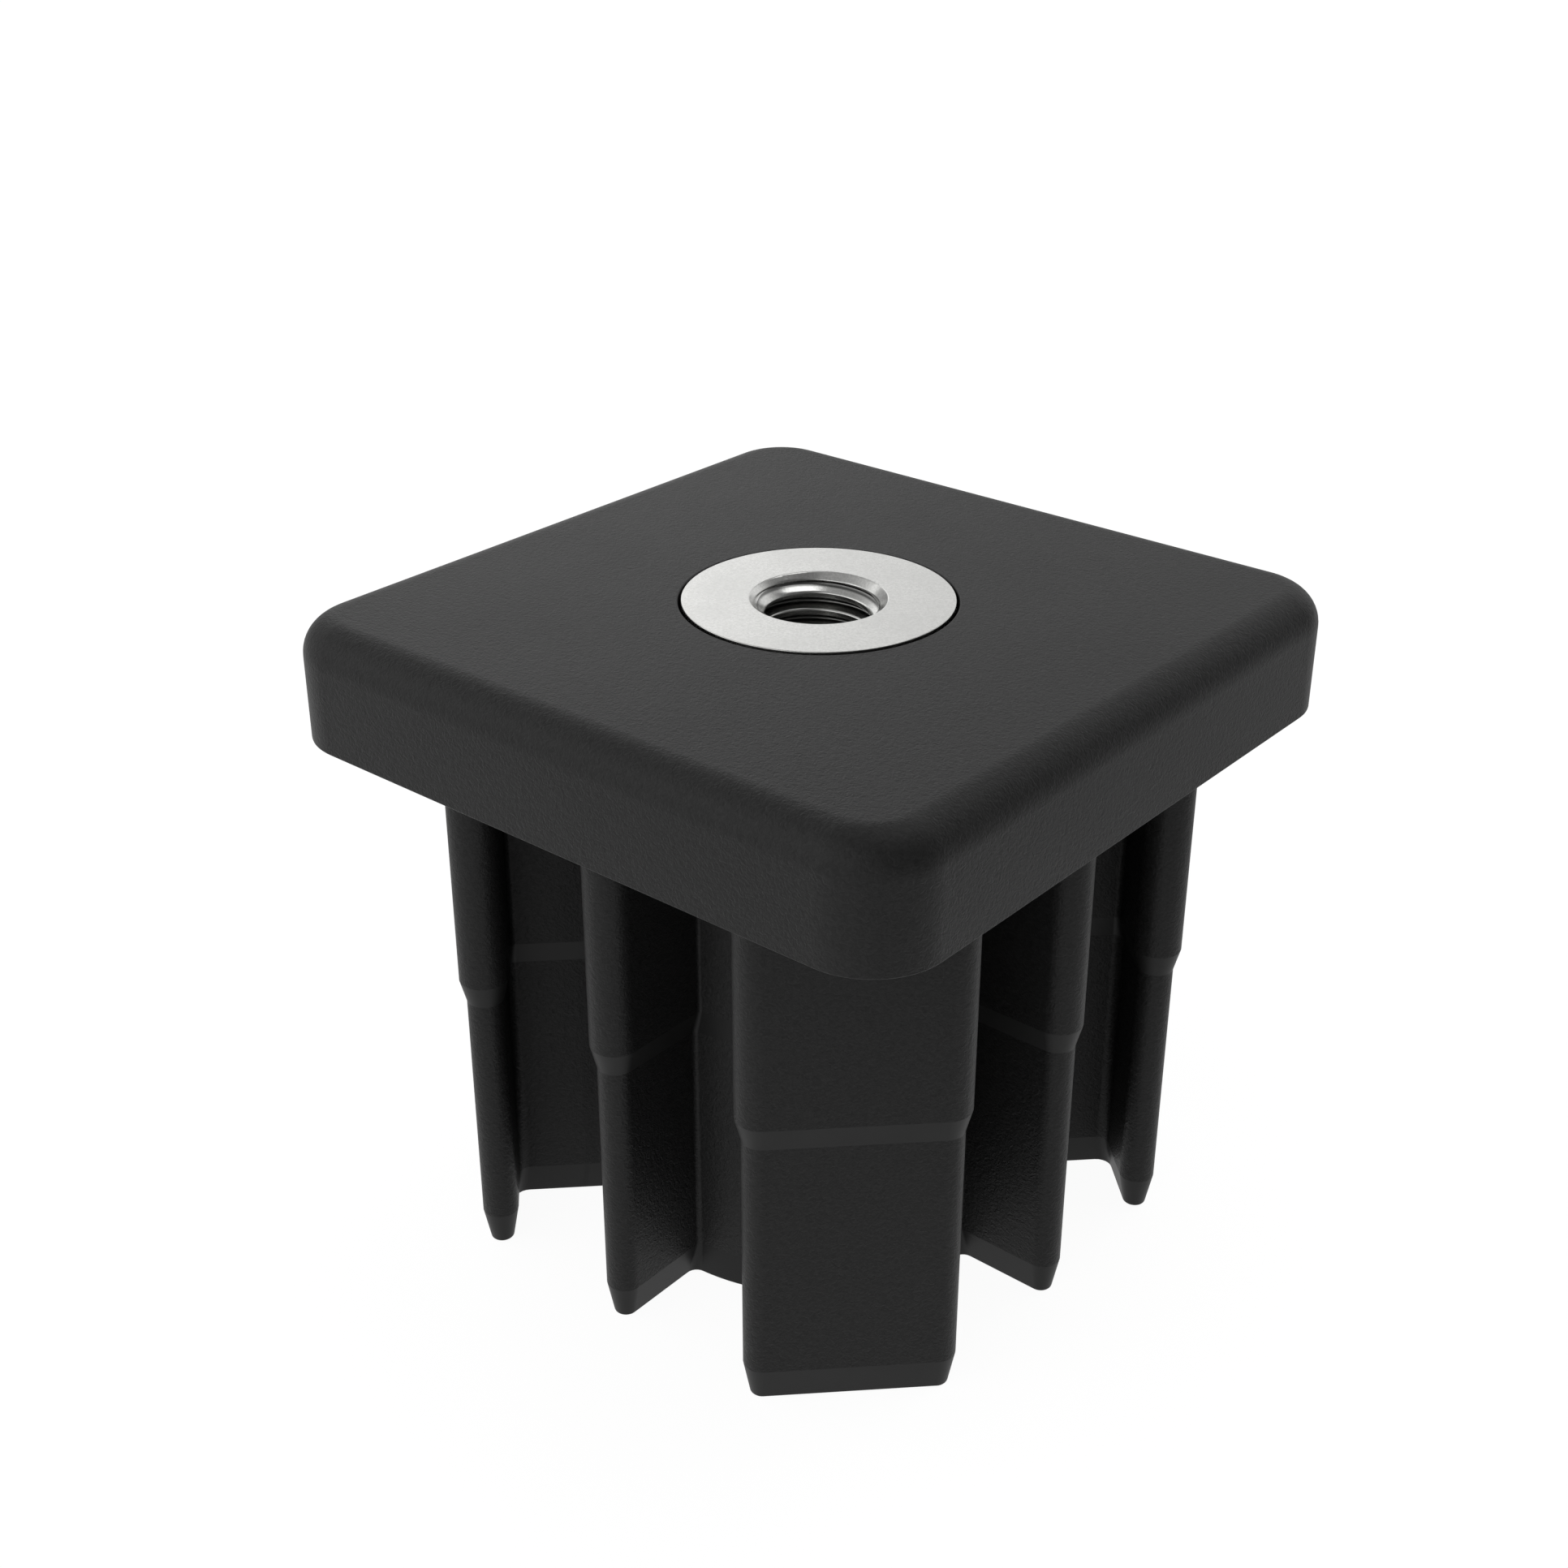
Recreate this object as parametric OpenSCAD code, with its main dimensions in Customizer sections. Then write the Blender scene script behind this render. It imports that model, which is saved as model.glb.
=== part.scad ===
// Threaded insert for the end of a square tube: a moulded plug with a rounded square cap,
// eight legs round a hollow core, and a flanged steel bush pressed into its centre.
// The origin is on the axis, in the plane where the tube's end meets the underside of the cap.
// The thread's turns are too fine to draw here: the bush has a bore of the thread's minor diameter.

/* [Tube] */
// Outer width of the square tube, and width of the cap
tube_w = 60; // [56:1:80]
// Wall thickness of the tube
tube_wall = 4; // [2:0.5:5]

/* [Cap] */
// Thickness of the cap
cap_t = 10; // [8:0.5:16]
// Radius of the cap's upright corners
cap_corner_r = 6; // [4:0.5:10]
// Radius of the rounded edge round the top face
cap_edge_r = 3; // [1:0.25:3.75]

/* [Legs] */
// Depth that the legs reach into the tube
leg_h = 45; // [36:1:60]
// Depth of the thicker stretch under the cap that grips the tube
grip_h = 19; // [8:1:24]
// Height of the slope from the thicker stretch to the thinner one
slope_h = 2; // [1:0.5:5]
// Height of the lead-in taper at the tips
tip_h = 3; // [1:0.5:6]
// How far the thicker stretch stands beyond the inside of the tube on each side
grip_over = 0.25; // [0.1:0.05:0.4]
// Wall thickness in the thicker stretch
grip_t = 4; // [3.4:0.1:5]
// Wall thickness in the thinner stretch
slim_t = 3; // [2.2:0.1:3.3]
// Wall thickness at the tips
tip_t = 1.9; // [1:0.1:2.1]
// Distance between the centres of a corner plate's rounded edges
plate_w = 13.6; // [9:0.1:18]
// Radius in the inside corners between the walls
root_r = 0.5; // [0.2:0.1:1]

/* [Core] */
// Outer diameter of the round core
core_d = 34; // [31:0.5:38]
// Wall thickness of the core
core_wall = 3; // [2:0.1:4]
// Wall thickness of the boss round the bush
boss_wall = 2.5; // [2:0.1:3.5]
// Thickness of the ribs between the boss and the core's wall
inner_rib_t = 2; // [1.2:0.1:3]
// Thickness of the cap above the core's hollow
roof_t = 6; // [5:0.25:9]

/* [Bush] */
// Nominal diameter of the metric thread
thread_d = 10; // [8, 10, 12]
// Pitch of the thread
thread_pitch = 1.5; // [1:0.25:1.75]
// Amount by which the countersinks are wider at the mouth than the thread
mouth_over = 0.9; // [0.2:0.1:2]
// Wall of the bush outside the thread, with its knurls
bush_wall = 2; // [1.5:0.25:3]
// Length of the bush with its flange
bush_h = 20; // [14:1:28]
// Depth of the knurls
knurl_depth = 0.4; // [0.2:0.05:0.6]
// Number of knurls round the bush
knurl_n = 36; // [20:1:44]
// Width of the plain groove between the two knurled bands
groove_h = 3; // [1:0.5:5]
// Height of the plain end that leads the bush into the boss
lead_h = 1; // [0.5:0.25:3]
// Diameter of the flange
flange_d = 21.5; // [19:0.5:24]
// Thickness of the flange
flange_t = 2.5; // [1.5:0.1:3.5]
// Height of the flange above the cap's top face
flange_proud = 0.1; // [0.05:0.05:0.5]
// Clearance round the flange in its recess
flange_gap = 0.22; // [0.1:0.02:0.5]
// Clearance under the bush's lower end, in the boss
seat_gap = 0.5; // [0.2:0.1:1]
// Amount by which the screw's way below the bush is wider than the thread
screw_clear = 2; // [1:0.25:3]

/* [Hidden] */
PLUG_COLOUR = "#2a2a2a";
STEEL_COLOUR = "#c9c9c6";
$fn = 96;
// Small overlap that joins solids and takes cuts past a face
lap = 1;
// Share by which an inside corner's cutter is larger than the radius that would only touch the walls
bite = 1.004;
// Turn from one side of the square to the next
quarter = 90;

grip_h2 = grip_t / 2;
slim_h2 = slim_t / 2;
tip_h2 = tip_t / 2;
slope_low = -grip_h - slope_h;
tip_top = -leg_h + tip_h;
// Distance from the axis to the centre of each leg's rounded outer edge
reach = tube_w / 2 - tube_wall + grip_over - grip_h2;
// Distance from the axis to the middle of a corner plate, along the diagonal
plate_reach = reach * sqrt(2) - plate_w / 2;
corner_at = tube_w / 2 - cap_corner_r;

// Basic profile of a metric thread: a sharp triangle of 60 degrees, of which 5/8 is kept
thread_sharp_h = thread_pitch * sin(60);
bore_r = thread_d / 2 - thread_sharp_h * 5 / 8;
mouth_r = (thread_d + mouth_over) / 2;
// Height of the countersinks, at 45 degrees
sink_h = mouth_r - bore_r;
knurl_r = thread_d / 2 + bush_wall;
neck_r = knurl_r - knurl_depth;
bush_top = cap_t + flange_proud;
bush_bottom = bush_top - bush_h;
flange_low = bush_top - flange_t;
// Height of each of the two knurled bands
band_h = (bush_h - flange_t - lead_h - groove_h) / 2;

core_r = core_d / 2;
hollow_r = core_r - core_wall;
boss_r = knurl_r + boss_wall;
hollow_top = cap_t - roof_t;
// Distance from the axis at which the legs start, inside the core's wall
leg_start = core_r - core_wall / 2;

// Upright section across a leg's wall, from inside the cap to the tip
module wall_section(half = false) {
    side = [
        [grip_h2, lap], [grip_h2, -grip_h], [slim_h2, slope_low],
        [slim_h2, tip_top], [tip_h2, -leg_h]
    ];
    far_side = [for (i = [len(side) - 1 : -1 : 0]) [half ? 0 : -side[i].x, side[i].y]];
    polygon(concat(side, far_side));
}

// Straight wall along X, with the leg's stepped and tapered section
module wall(from_x, to_x) {
    translate([from_x, 0, 0]) rotate([90, 0, 90])
        linear_extrude(to_x - from_x) wall_section();
}

// Rounded outer edge of a wall that ends at x
module wall_edge(x) {
    translate([x, 0, 0]) rotate([0, 0, -90])
        rotate_extrude(angle = 180) wall_section(half = true);
}

// Leg towards the middle of a side
module side_rib() {
    wall(leg_start, reach);
    wall_edge(reach);
}

// Leg towards a corner: a web that carries a plate set square to it
module corner_plate() {
    wall(leg_start, plate_reach);
    translate([plate_reach, 0, 0]) rotate([0, 0, quarter]) {
        wall(-plate_w / 2, plate_w / 2);
        wall_edge(plate_w / 2);
        rotate([0, 0, 2 * quarter]) wall_edge(plate_w / 2);
    }
}

// Inside corner between the web and the plate, with a radius that grows as the walls get thinner
module plate_root() {
    r_grip = root_r * bite;
    r_slim = r_grip + grip_h2 - slim_h2;
    r_tip = r_grip + grip_h2 - tip_h2;
    x_mid = plate_reach - grip_h2 - root_r;
    y_mid = grip_h2 + root_r;
    difference() {
        translate([x_mid, 0, -leg_h]) cube([y_mid, y_mid, leg_h + lap]);
        translate([x_mid, y_mid, 0]) rotate_extrude() polygon([
            [0, 2 * lap], [r_grip, 2 * lap], [r_grip, -grip_h], [r_slim, slope_low],
            [r_slim, tip_top], [r_tip, -leg_h], [r_tip, -leg_h - lap], [0, -leg_h - lap]
        ]);
    }
}

// Inside corner between the core and a wall of half thickness h2, from z_low up to z_high.
// The wall gets thinner by thins from z_from down to z_to.
module core_root(h2, z_low, z_high, z_from, z_to, thins) {
    r = root_r * bite;
    y_mid = h2 + root_r;
    x_mid = sqrt(pow(core_r + root_r, 2) - pow(y_mid, 2));
    x_in = core_r - core_wall / 4;
    y_out = y_mid * core_r / (core_r + root_r);
    difference() {
        translate([x_in, 0, z_low]) cube([x_mid - x_in, y_out, z_high - z_low]);
        translate([x_mid, y_mid, 0]) rotate_extrude() polygon([
            [0, z_high + lap], [r, z_high + lap], [r, z_from], [r + thins, z_to],
            [r + thins, z_low - lap], [0, z_low - lap]
        ]);
    }
}

// Inside corners between the core and one side of one leg, from the cap to the tip
module core_roots() {
    core_root(grip_h2, slope_low, lap, -grip_h, slope_low, grip_h2 - slim_h2);
    core_root(slim_h2, -leg_h, -grip_h, tip_top, -leg_h, slim_h2 - tip_h2);
}

module both_sides() {
    children();
    mirror([0, 1, 0]) children();
}

module legs() {
    for (side = [0 : 3]) {
        rotate([0, 0, side * quarter]) {
            side_rib();
            both_sides() core_roots();
        }
        rotate([0, 0, side * quarter + quarter / 2]) {
            corner_plate();
            both_sides() core_roots();
            both_sides() plate_root();
        }
    }
}

// Upright section of the cap from a centre line out to half_w, with the rounded top edge
module cap_section(half_w) {
    difference() {
        square([half_w, cap_t]);
        translate([half_w - cap_edge_r, cap_t - cap_edge_r]) difference() {
            square(cap_edge_r + lap);
            circle(cap_edge_r);
        }
    }
}

// Cap between two corners, from the middle out to the +X side
module cap_side() {
    translate([0, corner_at, 0]) rotate([90, 0, 0])
        linear_extrude(2 * corner_at) cap_section(tube_w / 2);
}

module cap_corner() {
    translate([corner_at, corner_at, 0])
        rotate_extrude(angle = quarter) cap_section(cap_corner_r);
}

module cap() {
    for (side = [0 : 3]) rotate([0, 0, side * quarter]) {
        cap_side();
        cap_corner();
    }
}

// Hollow of the core: a deep ring round the boss, crossed by the inner ribs on the diagonals
module core_hollow() {
    depth = hollow_top + leg_h;
    difference() {
        translate([0, 0, -leg_h - lap]) cylinder(depth + lap, r = hollow_r);
        translate([0, 0, -leg_h - 2 * lap]) {
            cylinder(depth + 3 * lap, r = boss_r);
            for (side = [0, 1]) rotate([0, 0, side * quarter + quarter / 2])
                translate([-core_r, -inner_rib_t / 2, 0])
                    cube([core_d, inner_rib_t, depth + 3 * lap]);
        }
    }
}

// Seat of the bush in the cap and the boss, and the screw's way below it
module bush_seat() {
    translate([0, 0, flange_low]) cylinder(flange_t, r = flange_d / 2 + flange_gap);
    translate([0, 0, bush_bottom - seat_gap]) cylinder(bush_h + seat_gap, r = knurl_r);
    translate([0, 0, -leg_h - lap]) cylinder(leg_h + cap_t, d = thread_d + screw_clear);
}

module plug_body() {
    color(PLUG_COLOUR) difference() {
        union() {
            cap();
            translate([0, 0, -leg_h]) cylinder(leg_h + lap, r = core_r);
            legs();
        }
        core_hollow();
        bush_seat();
    }
}

// Knurled band with teeth along the axis
module knurl_band() {
    half_tooth = 180 / knurl_n;
    linear_extrude(band_h) polygon([
        for (i = [0 : 2 * knurl_n - 1])
            let (r = i % 2 == 0 ? knurl_r : neck_r, a = i * half_tooth) [r * cos(a), r * sin(a)]
    ]);
}

// Through bore with a countersink at each end
module bush_bore() {
    translate([0, 0, bush_bottom - lap]) cylinder(bush_h + 2 * lap, r = bore_r);
    translate([0, 0, bush_top - sink_h]) cylinder(sink_h + lap, bore_r, mouth_r + lap);
    translate([0, 0, bush_bottom - lap]) cylinder(sink_h + lap, mouth_r + lap, bore_r);
}

module threaded_bush() {
    color(STEEL_COLOUR) difference() {
        union() {
            translate([0, 0, flange_low]) cylinder(flange_t, d = flange_d);
            translate([0, 0, bush_bottom]) cylinder(bush_h - flange_t / 2, r = neck_r);
            translate([0, 0, bush_bottom + lead_h]) knurl_band();
            translate([0, 0, flange_low - band_h]) knurl_band();
        }
        bush_bore();
    }
}

plug_body();
threaded_bush();
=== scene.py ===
"""Looks of a threaded insert for square tubes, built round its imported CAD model.

The moulding is drawn as one closed skin that follows the CAD's sizes, with its small edge
radii, and the bush as a turned and knurled piece with the real turns of its M10 x 1.5 thread.
Shapes are worked out in millimetres and written in metres, in the CAD's own frame.
"""

import math

import bmesh
import bpy
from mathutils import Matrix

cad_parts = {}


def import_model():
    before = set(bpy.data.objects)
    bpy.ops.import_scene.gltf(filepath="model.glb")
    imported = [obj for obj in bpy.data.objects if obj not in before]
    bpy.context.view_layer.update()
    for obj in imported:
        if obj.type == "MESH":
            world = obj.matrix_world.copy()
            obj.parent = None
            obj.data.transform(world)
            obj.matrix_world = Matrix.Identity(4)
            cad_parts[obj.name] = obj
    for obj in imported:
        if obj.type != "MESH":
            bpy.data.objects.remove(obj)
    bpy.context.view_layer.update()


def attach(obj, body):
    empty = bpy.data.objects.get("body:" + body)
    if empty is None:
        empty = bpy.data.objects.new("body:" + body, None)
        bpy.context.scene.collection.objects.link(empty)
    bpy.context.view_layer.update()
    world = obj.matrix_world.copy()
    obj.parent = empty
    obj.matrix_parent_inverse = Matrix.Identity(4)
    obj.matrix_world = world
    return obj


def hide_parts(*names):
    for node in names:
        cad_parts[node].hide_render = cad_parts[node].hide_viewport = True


MM = 0.001

# The moulding, as in the CAD source
TUBE_HALF = 30.0
CAP_T = 10.0
CAP_CORNER_R = 6.0
CAP_EDGE_R = 3.0
LEG_H = 45.0
GRIP_H = 19.0
SLOPE_H = 2.0
TIP_H = 3.0
GRIP_H2 = 2.0
SLIM_H2 = 1.5
TIP_H2 = 0.95
REACH = 24.25
PLATE_W = 13.6
PLATE_REACH = REACH * math.sqrt(2) - PLATE_W / 2
CORE_R = 17.0
HOLLOW_R = 14.0
BOSS_R = 9.5
HOLLOW_TOP = 4.0
INNER_RIB_T = 2.0
RECESS_R = 10.97
SEAT_R = 7.0
WAY_R = 6.0

# Radii of the inside corners, from the cap down to the tips, and in the core's hollows
CORE_ROOTS = (0.35, 0.35, 0.45, 0.45, 0.9)
PLATE_ROOTS = (0.5, 0.5, 0.9, 0.9, 1.2)
HOLLOW_ROOT_R = 0.5

# The bush, as in the CAD source
THREAD_R = 5.0
PITCH = 1.5
CREST_SHARE, FLANK_SHARE, ROOT_SHARE = 1 / 4, 5 / 16, 1 / 8
BORE_R = THREAD_R - PITCH * math.sin(math.radians(60)) * 5 / 8
MOUTH_R = 5.45
BUSH_TOP = 10.1
BUSH_LOW = -9.9
SEAT_LOW = BUSH_LOW - 0.5
FLANGE_R = 10.75
FLANGE_LOW = 7.6
KNURL_R = 7.0
KNURL_DEPTH = 0.4
KNURL_N = 36
BAND_H = 6.75
BAND_SLOPE = 0.3
LEAD_H = 1.0
LEAD_SHARE = 0.955

# Small radii of the moulded and turned edges
MOULD_EDGE_R = 0.16
UNDER_CAP_R = 0.15
TIP_EDGE_R = 0.2
MOUTH_EDGE_R = 0.3
TURNED_EDGE_R = 0.07
RIM_R = 0.05

# The thread's turns: points round one turn, rows in one pitch, and where the crest starts
TURN_STEPS = 192
PITCH_ROWS = 16
THREAD_PHASE = 0.373

# The light dome: levels by the sine of the elevation, and soft changes in some directions,
# each as azimuth, elevation, the cosines where it starts and is whole, and its factor
DOME_STOPS = ((0.0, 0.15), (0.12, 0.55), (0.24, 0.97), (0.46, 0.97), (0.66, 0.43), (0.88, 0.25))
DARK_SIDE = (2.0, 0.0, 0.10, 0.89, 0.15)
LEFT_SIDE = (220.0, 0.0, -0.09, 0.11, 1.5)
LOW_LEFT = (174.0, 4.0, 0.87, 0.96, 0.3)
TOP_LAMP = (66.0, 69.0, 0.935, 0.985, 7.5)
DOME_LEVEL = 1.06
DOME_R, DOME_ROWS, DOME_STEPS = 2.8, 9, 24

# The floor, in metres: its half side, how far it lies below the tips, and its whiteness
FLOOR_HALF = 3.0
FLOOR_GAP = 0.00002
FLOOR_WHITE = 1.08
FLOOR_SHARE = 0.88
# Its brightness in reflections: whole near the object, then lower, and lowest on the right
FLOOR_NEAR = (0.05, 0.13)
FLOOR_RIGHT = math.radians(51)
FLOOR_TURNS = (0.02, 0.12)
FLOOR_LEVELS = (0.72, 0.40)

# The photo's camera, fitted to the photo: its lens in millimetres and its place in metres
SENSOR_W, LENS = 36.0, 49.4546
CAMERA_AT = (0.098334, -0.121345, 0.073587)
CAMERA_DOWN, CAMERA_TURN = math.radians(27.0886), math.radians(40.011)

# The thread below its countersink, and the levels of its colour by radius, which paint shade into
# its roots
MOUTH_LOW = 9.49
ROOTS_PAINTED_SHADE = ((4.66, 1.0), (4.80, 0.3))
RAMP_R = 10
BORE_SMOOTHER = 0.07

# Scales of the plastic's and the steel's textures, in cells to the metre
CLOUD, WRINKLE, FINE = 90.0, 2900.0, 6500.0
SPECKLE, SHEEN_CLOUD = 5200.0, 260.0

# Heights of the bumps and their strengths on grained plastic, smooth plastic and steel
GRAIN_H, SPECKLE_H = 0.135, 0.02
GRAINED_BUMP, SMOOTH_BUMP, STEEL_BUMP = 0.5, 0.12, 0.25

# Kinds of surface on the moulding, by the number of their material
GRAINED, SMOOTH = 0, 1


class Skin:
    """Collects the rows and faces of one mesh, in millimetres."""

    def __init__(self):
        self.points = []
        self.faces = []
        self.kinds = []
        self.sharp = set()

    def row(self, flat, z):
        """Adds a row of points at one height and returns their numbers."""
        first = len(self.points)
        self.points += [(x, y, z) for x, y in flat]
        return list(range(first, first + len(flat)))

    def face(self, corners, kind=GRAINED):
        self.faces.append(corners)
        self.kinds.append(kind)

    def loft(self, low, high, kind=GRAINED):
        """Quads between two closed rows of as many points."""
        for i in range(len(low)):
            j = (i + 1) % len(low)
            self.face([low[i], low[j], high[j], high[i]], kind)

    def crease(self, row):
        """Keeps the edges of a closed row sharp."""
        for i in range(len(row)):
            self.sharp.add((row[i], row[(i + 1) % len(row)]))

    def ring(self, outer, inner, kind=GRAINED, parts=8):
        """Flat ring between two closed rows, as one face for each of its parts."""
        for s in range(parts):
            a = part_of(outer, s, parts)
            b = part_of(inner, s, parts)
            self.face(a + b[::-1], kind)

    def build(self, name, materials):
        """Makes the object, with all its normals outwards."""
        bm = bmesh.new()
        corners = [bm.verts.new([c * MM for c in p]) for p in self.points]
        for numbers, kind in zip(self.faces, self.kinds):
            face = bm.faces.new([corners[i] for i in numbers])
            face.material_index = kind
            face.smooth = True
        for a, b in self.sharp:
            bm.edges.get((corners[a], corners[b])).smooth = False
        loose = [v for v in bm.verts if not v.link_faces]
        bmesh.ops.delete(bm, geom=loose, context="VERTS")
        bmesh.ops.remove_doubles(bm, verts=bm.verts[:], dist=1e-7)
        bmesh.ops.recalc_face_normals(bm, faces=bm.faces[:])
        mesh = bpy.data.meshes.new(name)
        bm.to_mesh(mesh)
        bm.free()
        for m in materials:
            mesh.materials.append(m)
        obj = bpy.data.objects.new(name, mesh)
        bpy.context.scene.collection.objects.link(obj)
        weighted = obj.modifiers.new("Normals", "WEIGHTED_NORMAL")
        weighted.keep_sharp = True
        weighted.weight = 80
        return obj


def part_of(row, s, parts):
    """The points of a closed row from one dividing line to the next, both included."""
    n = len(row) // parts
    return [row[(s * n + i) % len(row)] for i in range(n + 1)]


def arc(cx, cy, r, start, end, steps):
    """Points of an arc, both ends included, with angles in degrees."""
    out = []
    for i in range(steps + 1):
        a = math.radians(start + (end - start) * i / steps)
        out.append((cx + r * math.cos(a), cy + r * math.sin(a)))
    return out


def turned(points, degrees):
    c, s = math.cos(math.radians(degrees)), math.sin(math.radians(degrees))
    return [(x * c - y * s, x * s + y * c) for x, y in points]


def all_round(eighth):
    """Closes an eighth, from the X axis to the diagonal, into the whole outline."""
    quarter = eighth + [(y, x) for x, y in eighth[-2:0:-1]]
    return [p for k in range(4) for p in turned(quarter, 90 * k)]


def circle(r, eighth_steps=12):
    return all_round(arc(0, 0, r, 0, 45, eighth_steps))


def rounded_square(half_w, corner_r):
    at = half_w - corner_r
    return all_round([(half_w, 0)] + arc(at, at, corner_r, 0, 45, 10))


def rounding(r, steps):
    """Insets and heights from a wall up into a flat top, round an edge of radius r."""
    angles = [math.radians(90 * i / steps) for i in range(steps + 1)]
    return [(r * (1 - math.cos(t)), r * math.sin(t)) for t in angles]


def legs_outline(h, core_root, plate_root, core_r=CORE_R):
    """Outline of the core and the eight legs where their walls are 2 h thick."""
    root_y = h + core_root
    root_x = math.sqrt((core_r + core_root) ** 2 - root_y**2)
    root_at = math.degrees(math.atan2(root_y, root_x))
    root = arc(root_x, root_y, core_root, 270, 180 + root_at, 6)
    side_rib = arc(REACH, 0, h, 0, 90, 10) + root
    core = arc(0, 0, core_r, root_at, 45 - root_at, 12)[1:-1]
    web = [(x, -y) for x, y in root[::-1]]
    web += arc(PLATE_REACH - h - plate_root, -h - plate_root, plate_root, 90, 0, 6)
    web += arc(PLATE_REACH, -PLATE_W / 2, h, 180, 360, 18)
    web.append((PLATE_REACH + h, 0))
    return all_round(side_rib + core + turned(web, 45))


def hollow_outline(grow, quarter):
    """Outline of one hollow between the boss and the core, and the number of its half's points."""
    fillet = HOLLOW_ROOT_R + grow
    inner_r, outer_r = BOSS_R - grow, HOLLOW_R + grow
    y = INNER_RIB_T / 2 - grow + fillet
    inner_at = math.degrees(math.asin(y / (inner_r + fillet)))
    outer_at = math.degrees(math.asin(y / (outer_r - fillet)))
    inner_x = math.sqrt((inner_r + fillet) ** 2 - y**2)
    outer_x = math.sqrt((outer_r - fillet) ** 2 - y**2)
    # Drawn beside a rib on the X axis, then turned to lie across that axis
    half = arc(0, 0, inner_r, 45, inner_at, 8)[:-1]
    half += arc(inner_x, y, fillet, 180 + inner_at, 270, 5)
    half += arc(outer_x, y, fillet, 270, 360 + outer_at, 5)
    half += arc(0, 0, outer_r, outer_at, 45, 8)[1:]
    half = turned(half, -45)
    whole = half + [(x, -y) for x, y in half[-2:0:-1]]
    return turned(whole, 90 * quarter), len(half)


def cap_rows(skin):
    """Rows up the cap's side, from its underside over the rounded edge to the flat top."""
    edges = [(inset, MOULD_EDGE_R - z) for inset, z in rounding(MOULD_EDGE_R, 3)[::-1]]
    edges += [(inset, CAP_T - CAP_EDGE_R + z) for inset, z in rounding(CAP_EDGE_R, 14)]
    return [
        skin.row(rounded_square(TUBE_HALF - inset, CAP_CORNER_R - inset), z)
        for inset, z in edges
    ]


def seat_rows(skin):
    """Rows from the recess's rim down the bush's seat and the screw's way to its mouth."""
    rows = [
        skin.row(circle(RECESS_R + inset), CAP_T - MOULD_EDGE_R + z)
        for inset, z in rounding(MOULD_EDGE_R, 3)[::-1]
    ]
    steps = ((RECESS_R, FLANGE_LOW), (SEAT_R, FLANGE_LOW), (SEAT_R, SEAT_LOW), (WAY_R, SEAT_LOW))
    for r, z in steps:
        rows.append(skin.row(circle(r), z))
        skin.crease(rows[-1])
    rows += [
        skin.row(circle(WAY_R + inset), MOUTH_EDGE_R - LEG_H - z)
        for inset, z in rounding(MOUTH_EDGE_R, 4)
    ]
    return rows


def leg_rows(skin):
    """Rows down the legs from the cap's underside, each with the kind of surface below it."""
    rows = []
    for inset, z in rounding(UNDER_CAP_R, 3)[::-1]:
        roots = CORE_ROOTS[0] - inset, PLATE_ROOTS[0] - inset
        outline = legs_outline(GRIP_H2 + inset, *roots, CORE_R + inset)
        rows.append((skin.row(outline, z - UNDER_CAP_R), GRAINED))
    steps = (
        (-GRIP_H, GRIP_H2, SMOOTH),
        (-GRIP_H - SLOPE_H, SLIM_H2, GRAINED),
        (TIP_H - LEG_H, SLIM_H2, SMOOTH),
    )
    for n, (z, h, kind) in enumerate(steps, 1):
        row = skin.row(legs_outline(h, CORE_ROOTS[n], PLATE_ROOTS[n]), z)
        skin.crease(row)
        rows.append((row, kind))
    for inset, z in rounding(TIP_EDGE_R, 4):
        h = TIP_H2 + (SLIM_H2 - TIP_H2) / TIP_H * (TIP_EDGE_R - z) - inset
        roots = CORE_ROOTS[4] + inset, PLATE_ROOTS[4] + inset
        outline = legs_outline(h, *roots, CORE_R - inset)
        rows.append((skin.row(outline, TIP_EDGE_R - LEG_H - z), SMOOTH))
    return rows


def hollow_mouth(skin, quarter):
    """One hollow from its mouth to its roof. Returns the mouth and the points in its half."""
    rows = []
    for inset, z in rounding(MOUTH_EDGE_R, 4)[::-1]:
        outline, half = hollow_outline(inset, quarter)
        rows.append(skin.row(outline, MOUTH_EDGE_R - LEG_H - z))
    rows.append(skin.row(hollow_outline(0, quarter)[0], HOLLOW_TOP))
    skin.crease(rows[-1])
    for low, high in zip(rows, rows[1:]):
        skin.loft(low, high, SMOOTH)
    skin.face(rows[-1], SMOOTH)
    return rows[0], half


def build_plug(materials):
    """The moulding: cap, core, legs, hollows and the bush's seat, as one closed skin."""
    skin = Skin()
    sides = cap_rows(skin)
    for low, high in zip(sides, sides[1:]):
        skin.loft(low, high)
    seat = seat_rows(skin)
    for low, high in zip(seat, seat[1:]):
        skin.loft(low, high, SMOOTH)
    skin.ring(sides[-1], seat[0])
    legs = leg_rows(skin)
    for (high, kind), (low, _) in zip(legs, legs[1:]):
        skin.loft(low, high, kind)
    skin.ring(sides[0], legs[0][0])
    mouths = [hollow_mouth(skin, quarter) for quarter in range(4)]
    # The underside in eighths, each with half of one hollow's mouth
    for s in range(8):
        outer = part_of(legs[-1][0], s, 8)
        way = part_of(seat[-1], s, 8)[::-1]
        mouth, half = mouths[(s + 1) // 2 % 4]
        if s % 2 == 0:
            skin.face(outer + way + [mouth[-i] for i in range(half)], SMOOTH)
        else:
            skin.face(outer + mouth[:half][::-1] + way, SMOOTH)
    return skin.build("moulded_plug", materials)


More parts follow.
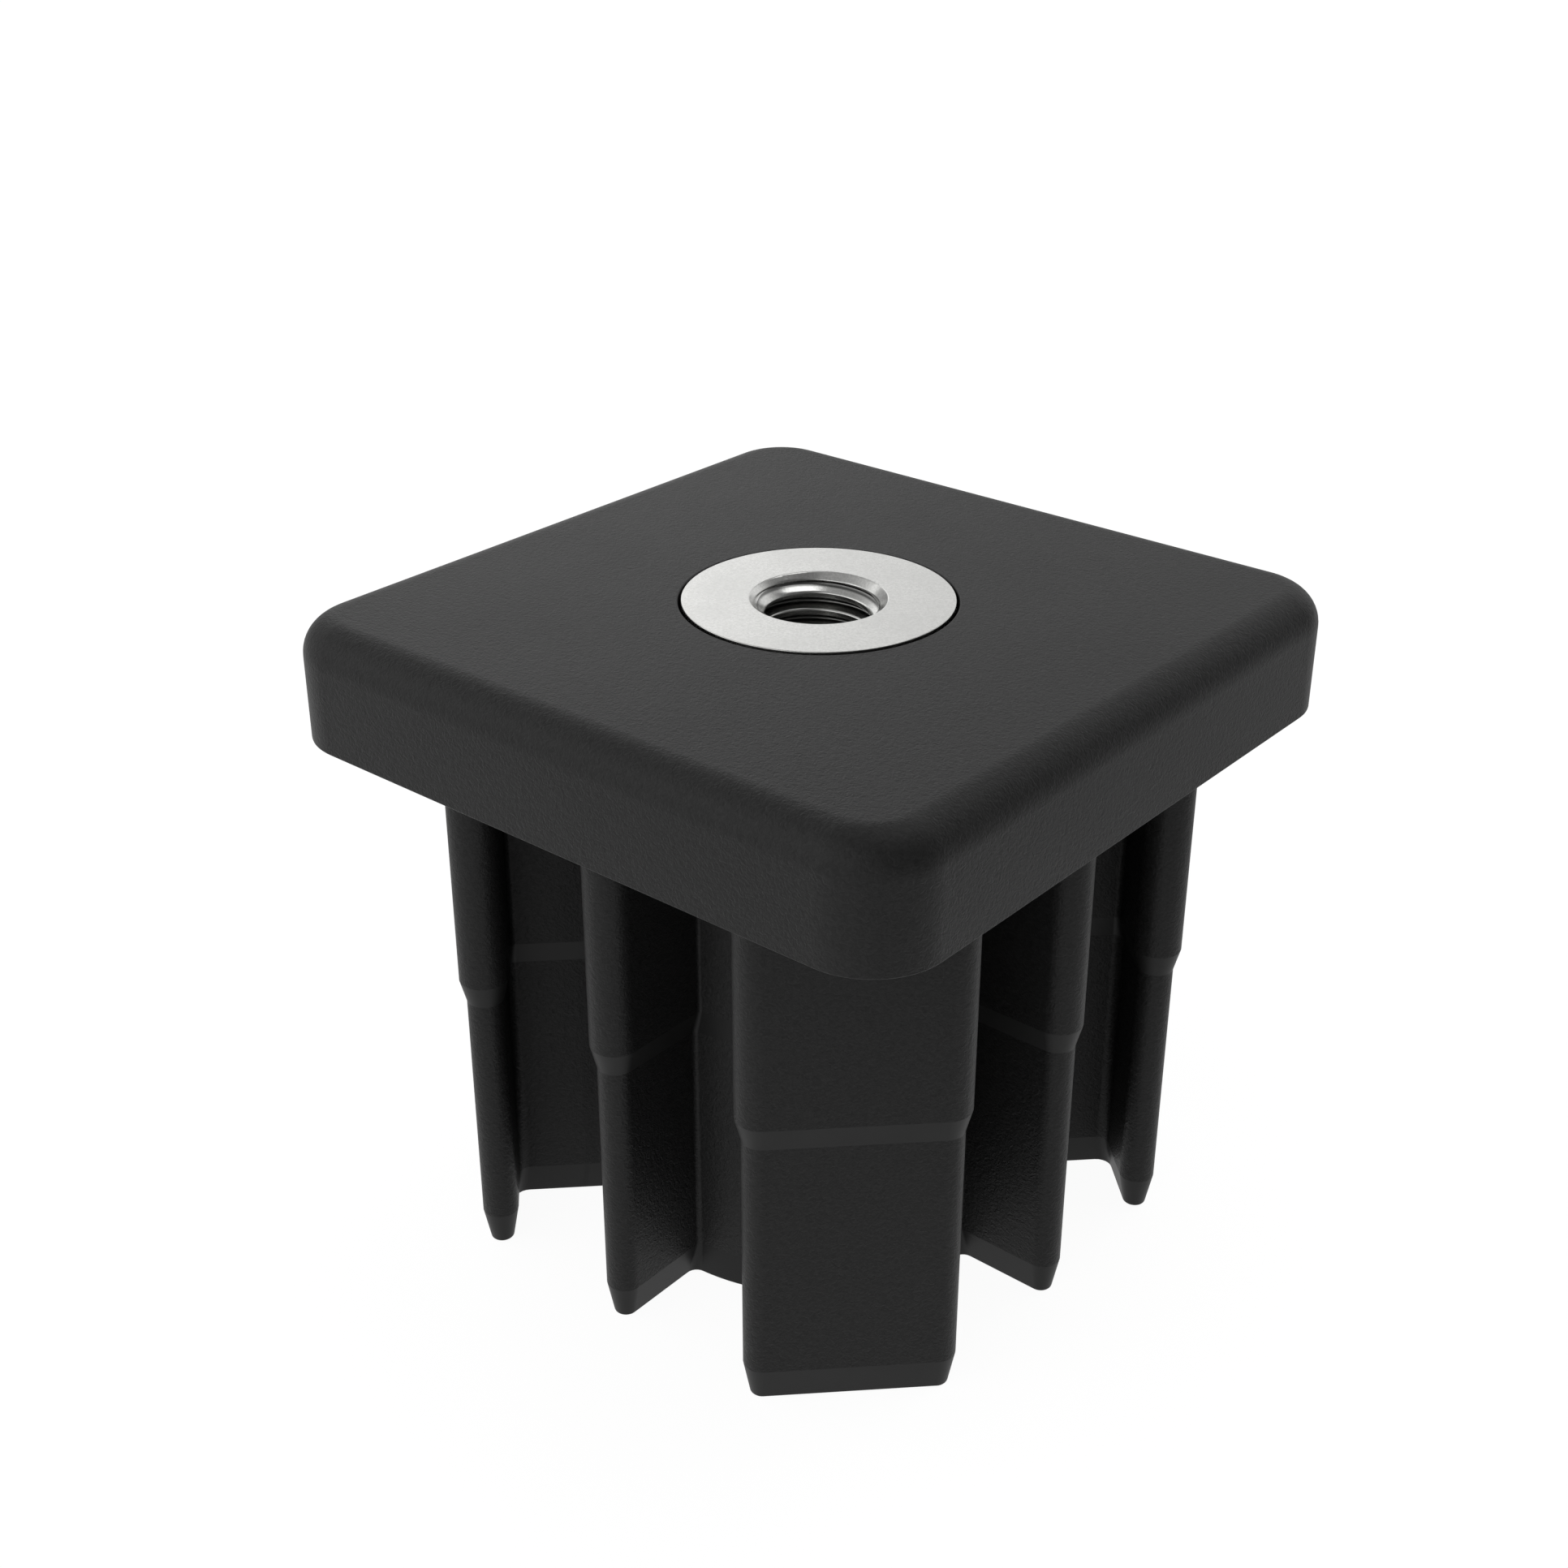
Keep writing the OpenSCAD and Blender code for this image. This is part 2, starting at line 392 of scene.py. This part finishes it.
def thread_radius(u):
    """Radius of the internal thread at a share u of its pitch, from the start of a crest."""
    u = u % 1.0
    root_start = CREST_SHARE + FLANK_SHARE
    root_end = root_start + ROOT_SHARE
    if u < CREST_SHARE:
        return BORE_R
    if u < root_start:
        return BORE_R + (THREAD_R - BORE_R) * (u - CREST_SHARE) / FLANK_SHARE
    if u < root_end:
        return THREAD_R
    return THREAD_R - (THREAD_R - BORE_R) * (u - root_end) / FLANK_SHARE


def thread_point(z_free, turn):
    """Point of the threaded bore at a share of a turn, held between the two countersinks."""
    z = min(max(z_free, BUSH_LOW), BUSH_TOP - RIM_R)
    r = thread_radius((z - THREAD_PHASE) / PITCH - turn)
    r = max(r, MOUTH_R - (BUSH_TOP - z), MOUTH_R - (z - BUSH_LOW))
    a = 2 * math.pi * turn
    return (r * math.cos(a), r * math.sin(a), z)


def add_thread(skin):
    """Quads that follow the helix, so that crests and roots stay crisp."""
    low_row = math.floor((BUSH_LOW - THREAD_PHASE) / PITCH - 1) * PITCH_ROWS
    high_row = math.ceil((BUSH_TOP - THREAD_PHASE) / PITCH + 1) * PITCH_ROWS
    numbers = {}
    for row in range(low_row, high_row + 1):
        for step in range(TURN_STEPS):
            turn = step / TURN_STEPS
            z = THREAD_PHASE + (row / PITCH_ROWS + turn) * PITCH
            numbers[row, step] = len(skin.points)
            skin.points.append(thread_point(z, turn))
    for row in range(low_row, high_row - PITCH_ROWS):
        for step in range(TURN_STEPS):
            if step + 1 < TURN_STEPS:
                ahead = (row, step + 1), (row + 1, step + 1)
            else:
                ahead = (row + PITCH_ROWS, 0), (row + PITCH_ROWS + 1, 0)
            corners = [(row, step), ahead[0], ahead[1], (row + 1, step)]
            heights = {skin.points[numbers[c]][2] for c in corners}
            if len(heights) > 1:
                skin.face([numbers[c] for c in corners])


def knurled(depth):
    """Outline of the knurled body, with its teeth cut down to a share of their depth."""
    neck = KNURL_R - KNURL_DEPTH
    shares = (0.0, 0.85, 1.0, 0.85)
    out = []
    for i in range(4 * KNURL_N):
        a = 2 * math.pi * i / (4 * KNURL_N)
        r = neck + KNURL_DEPTH * depth * shares[i % 4]
        out.append((r * math.cos(a), r * math.sin(a)))
    return out


def build_bush(materials):
    """The bush: flange, knurled body, countersinks and the turns of its thread."""
    skin = Skin()
    e = TURNED_EDGE_R
    steps = TURN_STEPS // 8
    rim = [
        skin.row(circle(MOUTH_R + 0.6 * RIM_R, steps), BUSH_TOP),
        skin.row(circle(MOUTH_R - RIM_R, steps), BUSH_TOP - RIM_R),
    ]
    rows = [
        skin.row(circle(FLANGE_R - inset, steps), BUSH_TOP - e + z)
        for inset, z in rounding(e, 3)[::-1]
    ]
    rows += [
        skin.row(circle(FLANGE_R - inset, steps), FLANGE_LOW + e - z)
        for inset, z in rounding(e, 3)
    ]
    skin.ring(rows[0], rim[0])
    skin.loft(*rim)
    for high, low in zip(rows, rows[1:]):
        skin.loft(low, high)
    body = [skin.row(knurled(0), FLANGE_LOW)]
    skin.ring(rows[-1], body[0])
    # Two knurled bands with sloping ends, the upper one straight under the flange
    for band_top in (FLANGE_LOW, BUSH_LOW + LEAD_H + BAND_H):
        for drop, depth in ((0, 0), (BAND_SLOPE, 1), (BAND_H - BAND_SLOPE, 1), (BAND_H, 0)):
            if drop or band_top != FLANGE_LOW:
                body.append(skin.row(knurled(depth), band_top - drop))
                skin.crease(body[-1])
    body.append(skin.row(knurled(0), BUSH_LOW + BAND_SLOPE))
    body.append(skin.row([(x * LEAD_SHARE, y * LEAD_SHARE) for x, y in knurled(0)], BUSH_LOW))
    skin.crease(body[-2])
    skin.crease(body[-1])
    for high, low in zip(body, body[1:]):
        skin.loft(low, high)
    bottom = skin.row(circle(MOUTH_R, steps), BUSH_LOW)
    skin.ring(body[-1], bottom)
    skin.crease(bottom)
    skin.crease(body[0])
    add_thread(skin)
    return skin.build("turned_bush", materials)


class Nodes:
    """Short ways to make and link the nodes of one material or world."""

    def __init__(self, tree):
        self.tree = tree
        tree.nodes.clear()

    def add(self, kind, links=(), **values):
        """A node with its properties and inputs set; links are (input, node, output)."""
        node = self.tree.nodes.new(kind)
        for name, value in values.items():
            if name.startswith("_"):
                node.inputs[name[1:].replace("_", " ")].default_value = value
            else:
                setattr(node, name, value)
        for name, source, output in links:
            self.tree.links.new(source.outputs[output], node.inputs[name])
        return node

    def math(self, operation, a, b=None):
        """A Math node; a and b are numbers or (node, output)."""
        node = self.tree.nodes.new("ShaderNodeMath")
        node.operation = operation
        for i, value in enumerate((a, b)):
            if isinstance(value, tuple):
                self.tree.links.new(value[0].outputs[value[1]], node.inputs[i])
            elif value is not None:
                node.inputs[i].default_value = value
        return (node, 0)

    def ramp(self, source, stops):
        """A colour ramp over (position, level) stops; a level is a grey or a colour."""
        node = self.tree.nodes.new("ShaderNodeValToRGB")
        elements = node.color_ramp.elements
        while len(elements) < len(stops):
            elements.new(0.5)
        for element, (position, level) in zip(elements, stops):
            colour = (level, level, level) if isinstance(level, float) else level
            element.position = position
            element.color = (*colour, 1)
        self.tree.links.new(source[0].outputs[source[1]], node.inputs["Fac"])
        return (node, "Color")

    def smooth(self, source, start_end, levels):
        """A soft change from one level to another between two values of the source."""
        node = self.add(
            "ShaderNodeMapRange",
            [("Value", *source)],
            interpolation_type="SMOOTHSTEP",
            _From_Min=start_end[0],
            _From_Max=start_end[1],
            _To_Min=levels[0],
            _To_Max=levels[1],
        )
        return (node, "Result")


def new_material(name):
    material = bpy.data.materials.new(name)
    material.use_nodes = True
    return material, Nodes(material.node_tree)


def noise(n, place, scale, detail=2.0, roughness=0.5, distortion=0.0):
    return n.add(
        "ShaderNodeTexNoise",
        [("Vector", place, "Object")],
        _Scale=scale,
        _Detail=detail,
        _Roughness=roughness,
        _Distortion=distortion,
    )


def polyamide(name, grained):
    """Black moulded plastic, with its fine leather grain or smooth."""
    material, n = new_material(name)
    place = n.add("ShaderNodeTexCoord")
    cloud = noise(n, place, CLOUD, 3.0)
    wrinkle = noise(n, place, WRINKLE, 2.0, 0.55, 1.0)
    fine = noise(n, place, FINE, 1.0)
    height = n.math("MULTIPLY", (fine, "Fac"), 0.25)
    if grained:
        height = n.math("ADD", (wrinkle, "Fac"), height)
    bump = n.add(
        "ShaderNodeBump",
        [("Height", *height)],
        _Strength=GRAINED_BUMP if grained else SMOOTH_BUMP,
        _Distance=GRAIN_H * MM,
    )
    # The grain's hollows are a little darker than its ridges
    shade = wrinkle if grained else cloud
    colour = n.ramp((shade, "Fac"), ((0.3, 0.0138), (0.7, 0.0226)))
    gloss = n.ramp((cloud, "Fac"), ((0.3, 0.452), (0.7, 0.468)))
    shader = n.add(
        "ShaderNodeBsdfPrincipled",
        [("Base Color", *colour), ("Roughness", *gloss), ("Normal", bump, "Normal")],
        _IOR=1.5,
        _Specular_IOR_Level=0.19,
    )
    n.add("ShaderNodeOutputMaterial", [("Surface", shader, "BSDF")])
    return material


def steel():
    """Satin steel with a fine speckle, and a thread with painted shade in its roots."""
    material, n = new_material("satin_steel_turned")
    place = n.add("ShaderNodeTexCoord")
    speckle = noise(n, place, SPECKLE, 2.0, 0.6)
    cloud = noise(n, place, SHEEN_CLOUD, 3.0)
    bump = n.add(
        "ShaderNodeBump",
        [("Height", speckle, "Fac")],
        _Strength=STEEL_BUMP,
        _Distance=SPECKLE_H * MM,
    )
    axes = n.add("ShaderNodeSeparateXYZ", [("Vector", place, "Object")])
    square = n.math("ADD", n.math("POWER", (axes, "X"), 2.0), n.math("POWER", (axes, "Y"), 2.0))
    radius = n.math("SQRT", square)
    # Painted shade: the colour is darkened in the thread's roots, by radius
    # A ramp runs from 0 to 1, so its radii are shares of RAMP_R
    stops = [(r / RAMP_R, level) for r, level in ROOTS_PAINTED_SHADE]
    root_painted_shade = n.ramp(n.math("MULTIPLY", radius, 1 / (RAMP_R * MM)), stops)
    # The share of the full colour: the ramp's, with its painted root shade, inside the thread, and
    # all of it elsewhere
    thread = n.math("LESS_THAN", radius, (THREAD_R + 0.1) * MM)
    thread = n.math("MULTIPLY", thread, n.math("LESS_THAN", (axes, "Z"), MOUTH_LOW * MM))
    share = n.math("MULTIPLY", thread, root_painted_shade)
    share = n.math("ADD", share, n.math("SUBTRACT", 1.0, thread))
    colour = n.ramp((speckle, "Fac"), ((0.3, (0.53, 0.53, 0.515)), (0.7, (0.63, 0.63, 0.615))))
    scaled = n.add(
        "ShaderNodeVectorMath",
        [(0, *colour), ("Scale", *share)],
        operation="SCALE",
    )
    gloss = n.ramp((cloud, "Fac"), ((0.3, 0.25), (0.7, 0.29)))
    bored = n.math("LESS_THAN", radius, MOUTH_R * MM)
    gloss = n.math("SUBTRACT", gloss, n.math("MULTIPLY", bored, BORE_SMOOTHER))
    shader = n.add(
        "ShaderNodeBsdfPrincipled",
        [("Base Color", scaled, 0), ("Roughness", *gloss), ("Normal", bump, "Normal")],
        _Metallic=1.0,
    )
    n.add("ShaderNodeOutputMaterial", [("Surface", shader, "BSDF")])
    return material


def floor_material():
    """Pale floor: near white to the camera and in reflections, with the object's soft shadow."""
    material, n = new_material("studio_floor")
    rays = n.add("ShaderNodeLightPath")
    mirrored = n.math("MAXIMUM", (rays, "Is Glossy Ray"), (rays, "Is Transmission Ray"))
    place = n.add("ShaderNodeTexCoord")
    rightwards = n.add(
        "ShaderNodeVectorMath",
        [(0, place, "Object")],
        operation="DOT_PRODUCT",
    )
    rightwards.inputs[1].default_value = (math.cos(FLOOR_RIGHT), math.sin(FLOOR_RIGHT), 0.0)
    far_share = n.smooth((rightwards, "Value"), FLOOR_TURNS, FLOOR_LEVELS)
    axis_distance = n.add(
        "ShaderNodeVectorMath",
        [(0, place, "Object")],
        operation="LENGTH",
    )
    near_share = n.smooth((axis_distance, "Value"), FLOOR_NEAR, (1.0, 0.0))
    mirrored = n.math("MULTIPLY", mirrored, n.math("MAXIMUM", far_share, near_share))
    seen = n.math("MAXIMUM", (rays, "Is Camera Ray"), mirrored)
    # The floor below the screw's way stays in its shadow
    way = (0.9 * WAY_R * MM, 1.1 * WAY_R * MM)
    outside = n.smooth((axis_distance, "Value"), way, (0.0, 1.0))
    share = n.math("MULTIPLY", n.math("MULTIPLY", seen, outside), FLOOR_SHARE)
    pale = n.add("ShaderNodeBsdfDiffuse", _Color=(0.9, 0.9, 0.9, 1))
    white = n.add("ShaderNodeEmission", _Color=(1, 1, 1, 1), _Strength=FLOOR_WHITE)
    mixed = n.add("ShaderNodeMixShader", [(0, *share), (1, pale, 0), (2, white, 0)])
    below = n.add("ShaderNodeNewGeometry")
    clear = n.add("ShaderNodeBsdfTransparent")
    whole = n.add(
        "ShaderNodeMixShader",
        [(0, below, "Backfacing"), (1, mixed, 0), (2, clear, 0)],
    )
    n.add("ShaderNodeOutputMaterial", [("Surface", whole, 0)])
    return material


def build_floor():
    signs = ((-1, -1), (1, -1), (1, 1), (-1, 1))
    mesh = bpy.data.meshes.new("studio_floor")
    corners = [(x * FLOOR_HALF, y * FLOOR_HALF, 0) for x, y in signs]
    mesh.from_pydata(corners, [], [(0, 1, 2, 3)])
    mesh.materials.append(floor_material())
    floor = bpy.data.objects.new("studio_floor", mesh)
    floor.location.z = -LEG_H * MM - FLOOR_GAP
    bpy.context.scene.collection.objects.link(floor)


def towards(n, direction, azimuth, elevation, start, whole, factor):
    """Factor on the dome's light round one direction, 1 outside it."""
    a, e = math.radians(azimuth), math.radians(elevation)
    middle = (math.cos(e) * math.cos(a), math.cos(e) * math.sin(a), math.sin(e))
    near = n.add(
        "ShaderNodeVectorMath",
        [(0, direction, "Vector")],
        operation="DOT_PRODUCT",
    )
    near.inputs[1].default_value = middle
    return n.smooth((near, "Value"), (start, whole), (1.0, factor))


def dome_material():
    """Light of the dome: bright low down and on the left, darker above and on the right."""
    material, n = new_material("studio_dome")
    place = n.add("ShaderNodeTexCoord")
    direction = n.add(
        "ShaderNodeVectorMath",
        [(0, place, "Object")],
        operation="NORMALIZE",
    )
    axes = n.add("ShaderNodeSeparateXYZ", [("Vector", direction, "Vector")])
    strength = n.math("MULTIPLY", n.ramp((axes, "Z"), DOME_STOPS), DOME_LEVEL)
    for side in (DARK_SIDE, LEFT_SIDE, LOW_LEFT, TOP_LAMP):
        strength = n.math("MULTIPLY", strength, towards(n, direction, *side))
    light = n.add("ShaderNodeEmission", [("Strength", *strength)], _Color=(1, 1, 1, 1))
    n.add("ShaderNodeOutputMaterial", [("Surface", light, 0)])
    material.cycles.emission_sampling = "NONE"
    return material


def build_dome():
    """A light dome round the object, which the camera looks through to the white world."""
    corners = []
    for row in range(DOME_ROWS + 1):
        e = math.radians(90 * row / DOME_ROWS)
        flat, height = DOME_R * math.cos(e), DOME_R * math.sin(e)
        for step in range(DOME_STEPS):
            a = 2 * math.pi * step / DOME_STEPS
            corners.append((flat * math.cos(a), flat * math.sin(a), height))
    faces = []
    for row in range(DOME_ROWS):
        for step in range(DOME_STEPS):
            low = row * DOME_STEPS + step
            ahead = row * DOME_STEPS + (step + 1) % DOME_STEPS
            faces.append((low, ahead, ahead + DOME_STEPS, low + DOME_STEPS))
    mesh = bpy.data.meshes.new("studio_dome")
    mesh.from_pydata(corners, [], faces)
    mesh.materials.append(dome_material())
    dome = bpy.data.objects.new("studio_dome", mesh)
    dome.location.z = -LEG_H * MM
    dome.visible_camera = False
    bpy.context.scene.collection.objects.link(dome)


def white_world():
    """The plain white background."""
    world = bpy.data.worlds.new("studio")
    world.use_nodes = True
    bpy.context.scene.world = world
    n = Nodes(world.node_tree)
    light = n.add("ShaderNodeBackground", _Color=(1, 1, 1, 1), _Strength=1.0)
    n.add("ShaderNodeOutputWorld", [("Surface", light, "Background")])


def build_camera():
    data = bpy.data.cameras.new("camera")
    data.sensor_width = SENSOR_W
    data.lens = LENS
    data.clip_start = 0.01
    data.clip_end = 20.0
    camera = bpy.data.objects.new("camera", data)
    camera.location = CAMERA_AT
    camera.rotation_euler = (math.pi / 2 - CAMERA_DOWN, 0.0, CAMERA_TURN)
    bpy.context.scene.collection.objects.link(camera)
    bpy.context.scene.camera = camera


def main():
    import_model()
    bpy.context.scene.view_settings.view_transform = "Standard"
    build_camera()
    white_world()
    build_floor()
    build_dome()
    plastics = [polyamide("polyamide_grained", True), polyamide("polyamide_smooth", False)]
    plug = build_plug(plastics)
    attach(plug, "root")
    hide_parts("plug_body")
    bush = build_bush([steel()])
    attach(bush, "root")
    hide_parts("threaded_bush")


main()
